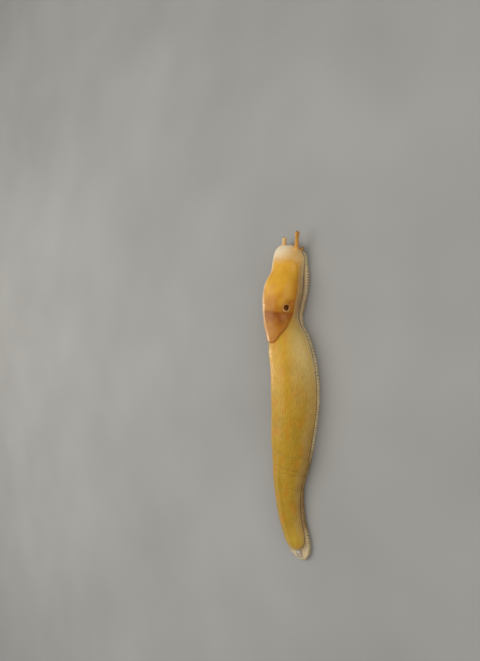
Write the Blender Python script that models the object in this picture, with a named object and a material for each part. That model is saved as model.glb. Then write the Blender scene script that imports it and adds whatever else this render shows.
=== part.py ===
"""Banana slug: a still, life-size model of one crawling on a level surface.

+X is forward, +Y is the animal's left and +Z is up. The sole lies on z = 0, and the
origin is under the middle of the whole outline. The flesh is one loft along a swaying
spine, parted into lengths by thin gaps. The mantle is a plate that follows the back,
with the breathing hole on its right side, and the foot is a pleated strip below.
Lengths are in millimetres until a mesh is made from them.
"""

import math

import bmesh
import bpy
import numpy as np
from mathutils import Matrix, Vector

MM = 0.001
GAP = 0.3  # clearance between pieces that touch
FORWARD, UPWARD = (1, 0, 0), (0, 0, 1)
UNTURNED = np.identity(3)
SMALL_BALL, LARGE_BALL = (12, 8), (16, 10)  # segments round, rings from pole to pole
RING_SEGMENTS, RING_TUBE_SEGMENTS = 20, 8
TUBE_FINENESS, WELD = 3, 0.002

# The body's lines from tail to snout, before its two ends are rounded off.
# x, sway to the left, half width of the flesh, height of the back, half width of the foot
LINES = np.array(
    (
        (-100.0, -5.4, 6.2, 7.6, 6.3),
        (-95.0, -4.5, 6.8, 8.4, 7.6),
        (-90.0, -2.8, 7.2, 9.0, 8.6),
        (-78.0, 1.2, 7.6, 10.0, 9.0),
        (-66.0, 3.1, 8.3, 11.4, 9.4),
        (-54.0, 3.2, 9.7, 13.4, 10.3),
        (-38.0, 0.2, 12.2, 17.0, 12.6),
        (-20.0, -2.4, 13.7, 19.8, 14.1),
        (2.0, -4.0, 14.6, 21.1, 15.1),
        (19.0, -2.2, 14.1, 20.4, 14.5),
        (30.0, 1.0, 13.0, 19.1, 13.5),
        (38.0, 4.2, 11.3, 16.6, 12.0),
        (47.0, 6.4, 10.6, 15.5, 12.6),
        (57.0, 5.6, 11.2, 16.5, 13.9),
        (66.0, 3.6, 11.6, 16.1, 14.3),
        (75.0, 2.6, 11.2, 14.2, 13.7),
        (79.0, 2.4, 11.6, 13.6, 12.9),
        (83.0, 1.9, 11.8, 12.9, 12.1),
        (91.0, -0.9, 11.3, 10.6, 11.4),
    )
)
SWAY, HALF_WIDTH, BACK, FOOT_HALF = 1, 2, 3, 4

# Where the flesh and the foot end, how long each rounding is, and how blunt (2 is round)
TAIL_TIP, SNOUT_TIP = -93.8, 91.4
FOOT_REAR, FOOT_FRONT = -100.0, 90.8
FLESH_ENDS = ((TAIL_TIP, 9.0, 2.0), (SNOUT_TIP, 7.0, 2.4))
FOOT_ENDS = ((FOOT_REAR, 8.5, 2.0), (FOOT_FRONT, 6.6, 2.4))
TAIL_TIP_Z, SNOUT_TIP_Z = 4.3, 5.6  # heights that the two ends close on
END_SCALE = 0.1  # share of the section that is left at a closed end

# Section of the flesh
FOOT_TOP = 3.2
FLESH_BASE = FOOT_TOP + GAP
FLANK_BLUNTNESS = 2.3
DOME_STEPS = 26
STATION_STEP = 2.6
TIP_STEPS, MIN_STEP = 7, 0.03
TIP_SHARE = 0.5  # share of each end's rounding that the closer steps take in
SPINE_STEP = 0.5  # half the length over which the spine's direction is read
KEEL_HEIGHT, KEEL_WIDTH = 0.9, 1.3
KEEL_START, KEEL_FULL = -20.0, -62.0

# Where the flesh and the foot are parted
FLESH_CUTS = {
    "tail": (TAIL_TIP, -60.0),
    "body_rear": (-60.0, -17.0),
    "body_middle": (-17.0, 27.0),
    "body_front": (27.0, 72.0),
    "neck": (72.0, 83.4),
    "head": (83.4, SNOUT_TIP),
}
FOOT_CUTS = {
    "foot_rear": (FOOT_REAR, -38.5),
    "foot_middle": (-38.5, 27.0),
    "foot_front": (27.0, FOOT_FRONT),
}

# Fringe of the foot, from the sole up: how far in from its widest line, share of the pleats'
# depth, share of its height
FRINGE = (
    (1.0, 0.0, 0.0),
    (0.15, 0.4, 0.12),
    (0.0, 1.0, 0.42),
    (0.15, 1.0, 0.7),
    (0.7, 0.6, 0.92),
    (1.7, 0.0, 1.0),
)
FOOT_END_FLATNESS = 0.6  # the foot thins towards its ends more slowly than it narrows
CHIN_START, CHIN_END, CHIN_THINNING = 82.0, 90.0, 0.45  # the foot thins under the head
PLEAT_LENGTH, PLEAT_DEPTH = 3.2, 0.22
PLEAT_WANDER, PLEAT_WANDER_LENGTH = 0.9, 31.0
PLEAT_STATIONS = 4
TAIL_PAD_START, TAIL_PAD_LENGTH, TAIL_PAD_HEIGHT = -93.5, 2.5, 0.9

# Mantle, as a rounded plate laid over the back
MANTLE_CENTRE_X = 52.0
MANTLE_FRONT, MANTLE_FRONT_BLUNTNESS = 30.2, 5.0
MANTLE_REAR, MANTLE_REAR_POINTEDNESS = 20.4, 1.54
MANTLE_SPREAD = math.radians(70.0)  # from the midline of the back to each side edge
MANTLE_THICK, MANTLE_EDGE = 2.7, 1.15
MANTLE_THIN_START, MANTLE_THIN_END, MANTLE_THINNING = 68.0, 81.0, 0.45  # thinner at the front
MANTLE_RINGS = (0.12, 0.26, 0.4, 0.53, 0.65, 0.76, 0.86, 0.94, 0.985)
MANTLE_SEGMENTS = 54
MANTLE_RIM_LIFT = 0.55  # height of the rim's outermost line, as a share of the edge

# Breathing hole and the cleft that runs from it to the mantle's edge
PORE_X, PORE_ANGLE = 54.0, math.radians(46.0)
PORE_HALF_LENGTH, PORE_HALF_HEIGHT, PORE_DEPTH = 1.75, 1.35, 1.35
PORE_FLOOR = 0.72  # width of the hole's floor as a share of its mouth
PORE_LIP_RADIUS, PORE_LIP_TUBE, PORE_LIP_SINK = 2.0, 0.5, 0.125
CLEFT_START = (55.5, math.radians(49.0))
CLEFT_END = (60.5, math.radians(69.0))
CLEFT_RADIUS, CLEFT_END_SHARE = 0.42, 0.55
CLEFT_STEPS, CLEFT_CURL = 6, 1.3

# Feelers. Sides: -1 is the right, +1 is the left
SIDES = {"right": -1, "left": 1}
HEAD_TURN = math.radians(-17.0)
EYE_STALK_ROOT = {"right": (86.0, 6.5, 5.7), "left": (86.0, 5.2, 4.7)}
EYE_STALK_REACH = {"right": (15.6, -1.6, 2.6), "left": (10.4, 0.0, 2.9)}
EYE_STALK_RADII = {
    "right": ((0.0, 1.5), (0.28, 1.75), (0.42, 1.4), (0.6, 1.2), (0.8, 1.1)),
    "left": ((0.0, 0.9), (0.2, 1.5), (0.42, 1.8), (0.58, 1.4), (0.7, 1.2), (0.8, 1.1)),
}
EYE_BULB_RADIUS = 1.4
EYE_RADIUS = 0.5
EYE_GAP = 0.2
EYE_ASIDE, EYE_UP = 0.25, 0.75  # how far the eye sits round the bulb from its foremost point
EYE_SINK = 0.33  # depth of the eye's middle inside the bulb's outline
LOWER_FEELER_ROOT = (86.4, 6.2, 4.3)
LOWER_FEELER_REACH = (6.4, 1.4, -1.4)
LOWER_FEELER_RADII = ((0.0, 1.3), (0.5, 1.05), (0.75, 0.85))
LOWER_BULB_RADIUS = 0.95
FEELER_BOW, FEELER_STEPS = 0.5, 12
BULB_START, BULB_END, BULB_STEPS = 0.28, 0.98, 7  # shares of the half turn from stalk to tip
BULB_ROOM = 3  # steps of the feeler's line that the bulb takes up

# Mouth
MOUTH_PLACE, MOUTH_FACING = (91.1, 0.0, 5.0), (1.0, -0.3, -0.6)
LIP_RADIUS, LIP_TUBE, LIP_FLATNESS = 2.3, 0.6, 0.42
MOUTH_SLIT = (0.32, 1.9, 1.0)

# Plug of mucus over the caudal pit
PLUG_X, PLUG_Z = -95.6, 4.7
PLUG_RADII = (1.35, 1.9, 0.8)

MATERIALS = {
    # name: colour, roughness
    "mantle_skin": ((0.62, 0.30, 0.05, 1.0), 0.32),
    "body_skin": ((0.50, 0.32, 0.07, 1.0), 0.36),
    "head_skin": ((0.66, 0.42, 0.17, 1.0), 0.34),
    "foot_skin": ((0.58, 0.46, 0.27, 1.0), 0.40),
    "eye": ((0.015, 0.012, 0.010, 1.0), 0.15),
    "mucus": ((0.80, 0.76, 0.66, 1.0), 0.12),
}


def along(column, x):
    """A column of LINES at x, as a smooth curve through its values."""
    xs, ys = LINES[:, 0], LINES[:, column]
    slopes = np.gradient(ys, xs)
    i = int(np.clip(np.searchsorted(xs, x) - 1, 0, len(xs) - 2))
    span = xs[i + 1] - xs[i]
    t = min(max((x - xs[i]) / span, 0.0), 1.0)
    return float(
        ys[i] * (1 + 2 * t) * (1 - t) ** 2
        + slopes[i] * span * t * (1 - t) ** 2
        + ys[i + 1] * t * t * (3 - 2 * t)
        + slopes[i + 1] * span * t * t * (t - 1)
    )


def smooth_step(start, end, value):
    t = min(max((value - start) / (end - start), 0.0), 1.0)
    return t * t * (3 - 2 * t)


def spine(x):
    """The spine's point on the floor at x, and the unit vector to the animal's left."""
    slope = (along(SWAY, x + SPINE_STEP) - along(SWAY, x - SPINE_STEP)) / (2 * SPINE_STEP)
    return Vector((x, along(SWAY, x), 0.0)), Vector((-slope, 1.0, 0.0)).normalized()


def closing(x, ends):
    """How far the section has closed near a rounded end: 1 along the body, least at the tip."""
    tip, rounding, bluntness = ends[0] if x < 0 else ends[1]
    inside = 1 - min(abs(x - tip) / rounding, 1.0)
    return max((1 - inside**bluntness) ** (1 / bluntness), END_SCALE)


def flesh_point(x, angle):
    """A point on the back; angle runs from 0 at the right base over the top to pi at the left."""
    closed = closing(x, FLESH_ENDS)
    tip_z = TAIL_TIP_Z if x < 0 else SNOUT_TIP_Z
    base = tip_z + (FLESH_BASE - tip_z) * closed
    top = tip_z + (along(BACK, x) - tip_z) * closed
    side = -math.copysign(abs(math.cos(angle)) ** (2 / FLANK_BLUNTNESS), math.cos(angle))
    lateral = along(HALF_WIDTH, x) * closed * side
    keel = KEEL_HEIGHT * closed * smooth_step(KEEL_START, KEEL_FULL, x)
    height = base + (top - base) * math.sin(angle) + keel * math.exp(-((lateral / KEEL_WIDTH) ** 2))
    centre, left = spine(x)
    return centre + left * lateral + Vector((0, 0, height))


def skin_point(x, from_midline, lift):
    """A point lifted off the back; from_midline is the angle down from the top, to the right."""
    angle = math.pi / 2 - from_midline
    step_x, step_angle = 0.4, 0.02
    x = min(x, SNOUT_TIP - 2 * step_x)
    ahead = flesh_point(x + step_x, angle) - flesh_point(x - step_x, angle)
    across = flesh_point(x, angle + step_angle) - flesh_point(x, angle - step_angle)
    normal = ahead.cross(across).normalized()
    return flesh_point(x, angle) + normal * lift


def skin_normal(x, from_midline):
    return (skin_point(x, from_midline, 1.0) - skin_point(x, from_midline, 0.0)).normalized()


def stations(start, end, step, tips):
    """Places along x from start to end, closer together where a rounded tip closes."""
    count = max(2, round((end - start) / step))
    xs = [start + (end - start) * i / count for i in range(count + 1)]
    for tip, rounding, bluntness in tips:
        if start <= tip <= end:
            xs = [x for x in xs if abs(x - tip) > TIP_SHARE * rounding]
            for i in range(TIP_STEPS):
                closed = math.sin(math.pi / 2 * i / TIP_STEPS)
                inside = (1 - closed**bluntness) ** (1 / bluntness)
                xs.append(tip + math.copysign(rounding * (1 - inside), -tip))
    xs.sort()
    return [x for i, x in enumerate(xs) if i == 0 or x - xs[i - 1] > MIN_STEP]


def new_object(name, mesh, material, collection="slug"):
    obj = bpy.data.objects.new(name, mesh)
    bpy.data.collections[collection].objects.link(obj)
    if material:
        mesh.materials.append(bpy.data.materials[material])
    return obj


def mesh_from(name, points, faces):
    """A mesh in metres from points in millimetres, with its faces turned outwards."""
    mesh = bpy.data.meshes.new(name)
    mesh.from_pydata([p * MM for p in points], [], faces)
    editable = bmesh.new()
    editable.from_mesh(mesh)
    bmesh.ops.recalc_face_normals(editable, faces=editable.faces)
    editable.to_mesh(mesh)
    editable.free()
    mesh.shade_smooth()
    return mesh


def loft(name, loops):
    """A closed mesh through loops of equally many points, capped at both ends."""
    size = len(loops[0])
    points = [p for loop in loops for p in loop]
    faces = [
        (k * size + j, k * size + (j + 1) % size, (k + 1) * size + (j + 1) % size, (k + 1) * size + j)
        for k in range(len(loops) - 1)
        for j in range(size)
    ]
    faces.append(tuple(range(size)))
    faces.append(tuple(range((len(loops) - 1) * size, len(loops) * size)))
    return mesh_from(name, points, faces)


def flesh_loop(x, grow=0.0):
    """The flesh's section at x, grown outwards and forwards where another piece is cut to it."""
    angles = [math.pi * j / DOME_STEPS for j in range(DOME_STEPS + 1)]
    dome = [flesh_point(x, a) for a in angles]
    if not grow:
        return dome
    centre = sum(dome, Vector()) / len(dome)
    _, left = spine(x)
    forwards = Vector((left.y, -left.x, 0)) * grow * math.sqrt(1 - closing(x, FLESH_ENDS) ** 2)
    return [p + (p - centre).normalized() * grow + forwards for p in dome]


def make_flesh():
    """The lengths of flesh from tail to head."""
    pieces = {}
    for name, (start, end) in FLESH_CUTS.items():
        start = start + (GAP / 2 if start > TAIL_TIP else 0)
        end = end - (GAP / 2 if end < SNOUT_TIP else 0)
        loops = [flesh_loop(x) for x in stations(start, end, STATION_STEP, FLESH_ENDS)]
        material = "head_skin" if name in ("head", "neck") else "body_skin"
        pieces[name] = new_object(name, loft(name, loops), material)
    return pieces


def pleat(x):
    """How far the fringe stands out at x."""
    phase = 2 * math.pi * x / PLEAT_LENGTH
    phase += PLEAT_WANDER * math.sin(2 * math.pi * x / PLEAT_WANDER_LENGTH)
    return PLEAT_DEPTH * math.sin(phase)


def foot_loop(x):
    """The foot's section at x: flat sole, swelling pleated fringe and a top under the flesh."""
    closed = closing(x, FOOT_ENDS)
    half = along(FOOT_HALF, x) * closed
    height = FOOT_TOP * closed**FOOT_END_FLATNESS
    height *= 1 - CHIN_THINNING * smooth_step(CHIN_START, CHIN_END, x)
    fold = pleat(x) * closed
    side = [(half - inset * closed + share * fold, rise * height) for inset, share, rise in FRINGE]
    bare = smooth_step(TAIL_PAD_START, TAIL_PAD_START - TAIL_PAD_LENGTH, x)
    middle = (0.0, height + TAIL_PAD_HEIGHT * bare * closed)
    profile = [(-y, z) for y, z in side] + [middle] + [(y, z) for y, z in reversed(side)]
    centre, left = spine(x)
    return [centre + left * y + Vector((0, 0, z)) for y, z in profile]


def make_foot():
    """The foot's three lengths, each with its stretch of fringe on both sides."""
    step = PLEAT_LENGTH / PLEAT_STATIONS
    for name, (start, end) in FOOT_CUTS.items():
        start = start + (GAP / 2 if start > FOOT_REAR else 0)
        end = end - (GAP / 2 if end < FOOT_FRONT else 0)
        loops = [foot_loop(x) for x in stations(start, end, step, FOOT_ENDS)]
        new_object(name, loft(name, loops), "foot_skin")


def mantle_place(ring, turn):
    """x and the angle from the midline of a place on the mantle: ring 0 is its middle, 1 its edge."""
    ahead, aside = math.cos(turn), math.sin(turn)
    if ahead > 0:
        blunt = MANTLE_FRONT_BLUNTNESS
        edge = (ahead**blunt + abs(aside) ** blunt) ** (-1 / blunt)
        ahead, aside = MANTLE_FRONT * ahead * edge, aside * edge
    else:
        ahead *= MANTLE_REAR
        aside = math.copysign(abs(aside) ** MANTLE_REAR_POINTEDNESS, aside)
    return MANTLE_CENTRE_X + ring * ahead, MANTLE_SPREAD * ring * aside


def mantle_thickness(ring):
    return MANTLE_EDGE + (MANTLE_THICK - MANTLE_EDGE) * (1 - ring * ring)


def mantle_point(ring, turn, thickness):
    """A point of the mantle at some height above its inner face."""
    x, angle = mantle_place(ring, turn)
    thin = 1 - MANTLE_THINNING * smooth_step(MANTLE_THIN_START, MANTLE_THIN_END, x)
    return skin_point(x, angle, GAP + thickness * thin)


def make_mantle():
    """The mantle: an outer and an inner face over the back, joined round a rounded rim."""
    turns = [2 * math.pi * j / MANTLE_SEGMENTS for j in range(MANTLE_SEGMENTS)]
    layers = [(r, mantle_thickness(r)) for r in MANTLE_RINGS]
    layers.append((1.0, MANTLE_EDGE * MANTLE_RIM_LIFT))
    layers += [(r, 0.0) for r in reversed(MANTLE_RINGS)]
    points = [mantle_point(0, 0, MANTLE_THICK)]
    for ring, thickness in layers:
        points += [mantle_point(ring, turn, thickness) for turn in turns]
    points.append(mantle_point(0, 0, 0.0))
    last = len(points) - 1
    faces = []
    for j in range(MANTLE_SEGMENTS):
        k = (j + 1) % MANTLE_SEGMENTS
        faces.append((0, 1 + j, 1 + k))
        faces.append((last, last - MANTLE_SEGMENTS + k, last - MANTLE_SEGMENTS + j))
        for layer in range(len(layers) - 1):
            here, there = 1 + layer * MANTLE_SEGMENTS, 1 + (layer + 1) * MANTLE_SEGMENTS
            faces.append((here + j, there + j, there + k, here + k))
    mantle = new_object("mantle", mesh_from("mantle", points, faces), "mantle_skin")
    fuse(mantle, [pore_lip()])
    cut(mantle, pore_cutter())
    cut(mantle, cleft_cutter())


def pore_surface():
    """Middle of the breathing hole on the mantle's outer face, and the way it faces."""
    ring = PORE_ANGLE / MANTLE_SPREAD
    lift = GAP + mantle_thickness(ring)
    return skin_point(PORE_X, PORE_ANGLE, lift), skin_normal(PORE_X, PORE_ANGLE)


def turned_to(normal, towards):
    """The rotation that puts +Z on the normal and keeps +X as near a direction as it can."""
    across = normal.cross(Vector(towards)).normalized()
    ahead = across.cross(normal).normalized()
    return np.column_stack((ahead, across, normal))


def placed(obj, rotation, place, scale=(1, 1, 1)):
    """Puts a primitive's own mesh in place, scaled, turned and moved."""
    for vertex in obj.data.vertices:
        local = np.array(vertex.co) * np.array(scale)
        vertex.co = Vector(rotation @ local) + place * MM
    obj.matrix_world.identity()
    return obj


def adopt(name, collection="work"):
    """Names the primitive just added and moves it to a collection."""
    obj = bpy.context.object
    obj.name = name
    for old in list(obj.users_collection):
        old.objects.unlink(obj)
    bpy.data.collections[collection].objects.link(obj)
    obj.data.shade_smooth()
    return obj


def pore_lip():
    """The low ring of flesh round the breathing hole."""
    bpy.ops.mesh.primitive_torus_add(
        major_radius=PORE_LIP_RADIUS * MM,
        minor_radius=PORE_LIP_TUBE * MM,
        major_segments=RING_SEGMENTS,
        minor_segments=RING_TUBE_SEGMENTS,
    )
    place, normal = pore_surface()
    stretch = PORE_HALF_HEIGHT / PORE_HALF_LENGTH
    rotation = turned_to(normal, FORWARD)
    return placed(adopt("pore_lip"), rotation, place - normal * PORE_LIP_SINK, (1, stretch, 1))


def pore_cutter():
    """A blind oval hole that leaves the mantle's inner face whole."""
    bpy.ops.mesh.primitive_cone_add(
        vertices=RING_SEGMENTS,
        radius1=PORE_FLOOR * PORE_HALF_LENGTH * MM,
        radius2=PORE_HALF_LENGTH * MM,
        depth=2 * PORE_DEPTH * MM,
    )
    place, normal = pore_surface()
    stretch = PORE_HALF_HEIGHT / PORE_HALF_LENGTH
    return placed(adopt("pore_cutter"), turned_to(normal, FORWARD), place, (1, stretch, 1))


def cleft_cutter():
    """A shallow groove from the hole down to the mantle's edge."""
    places, radii = [], []
    for i in range(CLEFT_STEPS + 1):
        share = i / CLEFT_STEPS
        x = CLEFT_START[0] + (CLEFT_END[0] - CLEFT_START[0]) * share
        angle = CLEFT_START[1] + (CLEFT_END[1] - CLEFT_START[1]) * share**CLEFT_CURL
        places.append(skin_point(x, angle, GAP + mantle_thickness(angle / MANTLE_SPREAD)))
        swell = CLEFT_END_SHARE + (1 - CLEFT_END_SHARE) * math.sin(math.pi * share)
        radii.append(CLEFT_RADIUS * swell)
    return tube("cleft_cutter", places, radii, None, "work")


def tube(name, places, radii, material, collection="slug"):
    """A closed mesh along a line of places, of a given radius at each."""
    curve = bpy.data.curves.new(name, "CURVE")
    curve.dimensions = "3D"
    curve.bevel_depth = MM
    curve.bevel_resolution = TUBE_FINENESS
    curve.use_fill_caps = True
    spline = curve.splines.new("POLY")
    spline.points.add(len(places) - 1)
    for point, place, radius in zip(spline.points, places, radii):
        point.co = (*(place * MM), 1.0)
        point.radius = radius
    wire = bpy.data.objects.new(name + "_line", curve)
    bpy.data.collections["work"].objects.link(wire)
    bpy.context.view_layer.update()
    mesh = bpy.data.meshes.new_from_object(wire.evaluated_get(bpy.context.evaluated_depsgraph_get()))
    editable = bmesh.new()
    editable.from_mesh(mesh)
    bmesh.ops.remove_doubles(editable, verts=editable.verts, dist=WELD * MM)
    bmesh.ops.recalc_face_normals(editable, faces=editable.faces)
    editable.to_mesh(mesh)
    editable.free()
    mesh.shade_smooth()
    bpy.data.objects.remove(wire)
    return new_object(name, mesh, material, collection)


def ball(name, place, radii, fineness, material=None, collection="work", rotation=UNTURNED):
    segments, rings = fineness
    bpy.ops.mesh.primitive_uv_sphere_add(segments=segments, ring_count=rings, radius=MM)
    obj = placed(adopt(name, collection), rotation, place, radii)
    if material:
        obj.data.materials.append(bpy.data.materials[material])
    return obj


def cut(obj, cutter):
    """Takes the cutter's space out of an object. The cutter stays, hidden from renders."""
    cutter.hide_render = True
    cutter.display_type = "WIRE"
    modifier = obj.modifiers.new("cut_" + cutter.name, "BOOLEAN")
    modifier.operation = "DIFFERENCE"
    modifier.solver = "EXACT"
    modifier.object = cutter


def fuse(obj, pieces):
    """Joins closed pieces to an object by one union, then keeps its largest closed surface."""
    together = bpy.data.collections.new(obj.name + "_pieces")
    bpy.context.scene.collection.children.link(together)
    for piece in pieces:
        for old in list(piece.users_collection):
            old.objects.unlink(piece)
        together.objects.link(piece)
    modifier = obj.modifiers.new("join", "BOOLEAN")
    modifier.operation = "UNION"
    modifier.solver = "EXACT"
    modifier.operand_type = "COLLECTION"
    modifier.collection = together
    apply_modifiers(obj)
    for piece in list(together.objects):
        bpy.data.objects.remove(piece)
    bpy.data.collections.remove(together)
    keep_largest(obj)


def apply_modifiers(obj):
    bpy.context.view_layer.update()
    evaluated = obj.evaluated_get(bpy.context.evaluated_depsgraph_get())
    mesh = bpy.data.meshes.new_from_object(evaluated)
    obj.modifiers.clear()
    obj.data = mesh


def keep_largest(obj):
    """Drops loose scraps and sealed hollows that a union can leave."""
    editable = bmesh.new()
    editable.from_mesh(obj.data)
    unseen = set(editable.verts)
    shells = []
    while unseen:
        edge_of_search = [unseen.pop()]
        shell = set(edge_of_search)
        while edge_of_search:
            vertex = edge_of_search.pop()
            for edge in vertex.link_edges:
                other = edge.other_vert(vertex)
                if other in unseen:
                    unseen.discard(other)
                    shell.add(other)
                    edge_of_search.append(other)
        shells.append(shell)
    largest = max(shells, key=len)
    spare = [v for shell in shells if shell is not largest for v in shell]
    bmesh.ops.delete(editable, geom=spare, context="VERTS")
    editable.to_mesh(obj.data)
    editable.free()


def head_place(place, side):
    """A place given ahead, aside and up on a straight head, on the turned head instead."""
    ahead, aside, up = place
    middle, _ = spine(FLESH_CUTS["head"][0])
    return middle + Matrix.Rotation(HEAD_TURN, 3, "Z") @ Vector((ahead - middle.x, side * aside, up))


def feeler_line(root, reach, side):
    """Places along a feeler, bowed a little upwards between its root and its tip."""
    places = []
    for i in range(FEELER_STEPS + 1):
        share = i / FEELER_STEPS
        place = [root[k] + reach[k] * share for k in range(3)]
        place[2] += FEELER_BOW * math.sin(math.pi * share)
        places.append(head_place(place, side))
    return places


def feeler(name, root, reach, side, radii, bulb):
    """A tapering stalk with a rounded bulb at its end."""
    line = feeler_line(root, reach, side)
    shares, widths = zip(*radii)
    places = line[:-BULB_ROOM]
    sizes = [float(np.interp(i / FEELER_STEPS, shares, widths)) for i in range(len(places))]
    ahead = (line[-1] - line[-2]).normalized()
    centre = line[-1] - ahead * bulb
    for i in range(BULB_STEPS + 1):
        turn = math.pi * (BULB_START + (BULB_END - BULB_START) * i / BULB_STEPS)
        places.append(centre - ahead * bulb * math.cos(turn))
        sizes.append(bulb * math.sin(turn))
    return tube(name, places, sizes, "head_skin"), centre, ahead


def make_feelers():
    """Two long feelers with an eye at each tip, and two short ones beside the mouth."""
    start, end = FLESH_CUTS["head"]
    loops = [flesh_loop(x, GAP) for x in stations(start, end, STATION_STEP, FLESH_ENDS)]
    head_space = new_object("head_space", loft("head_space", loops), None, "work")
    for name, side in SIDES.items():
        stalk, bulb, ahead = feeler(
            "eye_stalk_" + name,
            EYE_STALK_ROOT[name],
            EYE_STALK_REACH[name],
            side,
            EYE_STALK_RADII[name],
            EYE_BULB_RADIUS,
        )
        outward = (ahead + Vector((0.0, EYE_ASIDE * side, EYE_UP))).normalized()
        eye_place = bulb + outward * (EYE_BULB_RADIUS - EYE_SINK)
        ball("eye_" + name, eye_place, [EYE_RADIUS] * 3, SMALL_BALL, "eye", "slug")
        cut(stalk, head_space)
        cut(stalk, ball("socket_" + name, eye_place, [EYE_RADIUS + EYE_GAP] * 3, SMALL_BALL))
        short, _, _ = feeler(
            "lower_feeler_" + name,
            LOWER_FEELER_ROOT,
            LOWER_FEELER_REACH,
            side,
            LOWER_FEELER_RADII,
            LOWER_BULB_RADIUS,
        )
        cut(short, head_space)


def make_mouth(head):
    """A ring of lips low on the snout, with the mouth's line across it."""
    bpy.ops.mesh.primitive_torus_add(
        major_radius=LIP_RADIUS * MM,
        minor_radius=LIP_TUBE * MM,
        major_segments=RING_SEGMENTS,
        minor_segments=RING_TUBE_SEGMENTS,
    )
    place = head_place(MOUTH_PLACE, 1)
    facing = turned_to(Vector(MOUTH_FACING).normalized(), UPWARD)
    fuse(head, [placed(adopt("lips"), facing, place, (LIP_FLATNESS, 1, 1))])
    cut(head, ball("mouth_slit", place, MOUTH_SLIT, LARGE_BALL, rotation=facing))


def make_plug():
    """The drop of mucus that sits behind the tip of the back, on the end of the foot."""
    centre, _ = spine(PLUG_X)
    ball("mucus_plug", centre + Vector((0, 0, PLUG_Z)), PLUG_RADII, LARGE_BALL, "mucus", "slug")


def centre_on_origin():
    """Moves all objects so that the origin is under the middle of the whole outline."""
    bpy.context.view_layer.update()
    graph = bpy.context.evaluated_depsgraph_get()
    corners = []
    for obj in bpy.data.collections["slug"].objects:
        corners += [v.co.copy() for v in obj.evaluated_get(graph).data.vertices]
    for axis in (0, 1):
        values = [corner[axis] for corner in corners]
        for obj in bpy.data.objects:
            obj.location[axis] -= (min(values) + max(values)) / 2


def clear_scene():
    for obj in list(bpy.data.objects):
        bpy.data.objects.remove(obj)
    for name in ("slug", "work"):
        collection = bpy.data.collections.new(name)
        bpy.context.scene.collection.children.link(collection)


def make_materials():
    for name, (colour, roughness) in MATERIALS.items():
        material = bpy.data.materials.new(name)
        material.use_nodes = True
        shader = material.node_tree.nodes["Principled BSDF"]
        shader.inputs["Base Color"].default_value = colour
        shader.inputs["Roughness"].default_value = roughness
        shader.inputs["Metallic"].default_value = 0.0


def main():
    clear_scene()
    make_materials()
    flesh = make_flesh()
    make_foot()
    make_mantle()
    make_mouth(flesh["head"])
    make_feelers()
    make_plug()
    centre_on_origin()


main()
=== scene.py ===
"""Looks of the banana slug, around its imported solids.

One skin stands for all the flesh, so that no seam shows. Closed forms on the same lines as
the solids are laid together and remeshed into one surface, which is then shaped by furrows,
pleats and wrinkles that follow the body. The forms are made in millimetres.
"""

import math

import bmesh
import bpy
import numpy as np
from mathutils import Matrix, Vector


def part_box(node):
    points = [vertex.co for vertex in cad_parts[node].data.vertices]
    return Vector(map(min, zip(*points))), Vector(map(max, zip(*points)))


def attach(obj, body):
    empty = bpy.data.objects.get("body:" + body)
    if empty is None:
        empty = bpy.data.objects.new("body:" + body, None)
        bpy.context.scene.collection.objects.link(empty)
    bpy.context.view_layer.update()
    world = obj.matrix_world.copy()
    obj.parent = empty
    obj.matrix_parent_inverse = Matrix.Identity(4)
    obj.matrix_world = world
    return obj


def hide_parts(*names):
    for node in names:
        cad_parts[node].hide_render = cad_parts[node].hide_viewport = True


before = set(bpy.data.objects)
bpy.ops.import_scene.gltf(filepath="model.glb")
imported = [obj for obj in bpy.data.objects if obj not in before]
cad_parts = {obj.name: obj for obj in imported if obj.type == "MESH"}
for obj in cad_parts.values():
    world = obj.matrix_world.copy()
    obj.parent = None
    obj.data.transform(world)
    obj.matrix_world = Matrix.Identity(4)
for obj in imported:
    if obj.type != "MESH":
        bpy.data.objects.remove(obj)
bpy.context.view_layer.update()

MM = 0.001
TURN = 2 * math.pi
FORWARD, UPWARD = (1.0, 0.0, 0.0), (0.0, 0.0, 1.0)

# The body's lines from tail to snout, in millimetres: x, sway to the left, half width of the
# flesh, height of the back, half width of the foot
LINES = np.array((
    (-100.0, -5.4, 6.2, 7.6, 6.3),
    (-95.0, -4.5, 6.8, 8.4, 7.6),
    (-90.0, -2.8, 7.2, 9.0, 8.6),
    (-78.0, 1.2, 7.6, 10.0, 9.0),
    (-66.0, 3.1, 8.3, 11.4, 9.4),
    (-54.0, 3.2, 9.7, 13.4, 10.3),
    (-38.0, 0.2, 12.2, 17.0, 12.6),
    (-20.0, -2.4, 13.7, 19.8, 14.1),
    (2.0, -4.0, 14.6, 21.1, 15.1),
    (19.0, -2.2, 14.1, 20.4, 14.5),
    (30.0, 1.0, 13.0, 19.1, 13.5),
    (38.0, 4.2, 11.3, 16.6, 12.0),
    (47.0, 6.4, 10.6, 15.5, 12.6),
    (57.0, 5.6, 11.2, 16.5, 13.9),
    (66.0, 3.6, 11.6, 16.1, 14.3),
    (75.0, 2.6, 11.2, 14.2, 13.7),
    (79.0, 2.4, 11.6, 13.6, 12.9),
    (83.0, 1.9, 11.8, 12.9, 12.1),
    (91.0, -0.9, 11.3, 10.6, 11.4),
))
SWAY, HALF_WIDTH, BACK, FOOT_HALF = 1, 2, 3, 4

# Ends of the flesh and the foot: tip, length of its rounding, bluntness
TAIL_TIP, SNOUT_TIP = -93.8, 91.4
FOOT_REAR, FOOT_FRONT = -100.0, 90.8
FLESH_ENDS = ((TAIL_TIP, 9.0, 2.0), (SNOUT_TIP, 7.0, 2.4))
FOOT_ENDS = ((FOOT_REAR, 8.5, 2.0), (FOOT_FRONT, 6.6, 2.4))
TAIL_TIP_Z, SNOUT_TIP_Z = 4.3, 5.6

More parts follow.
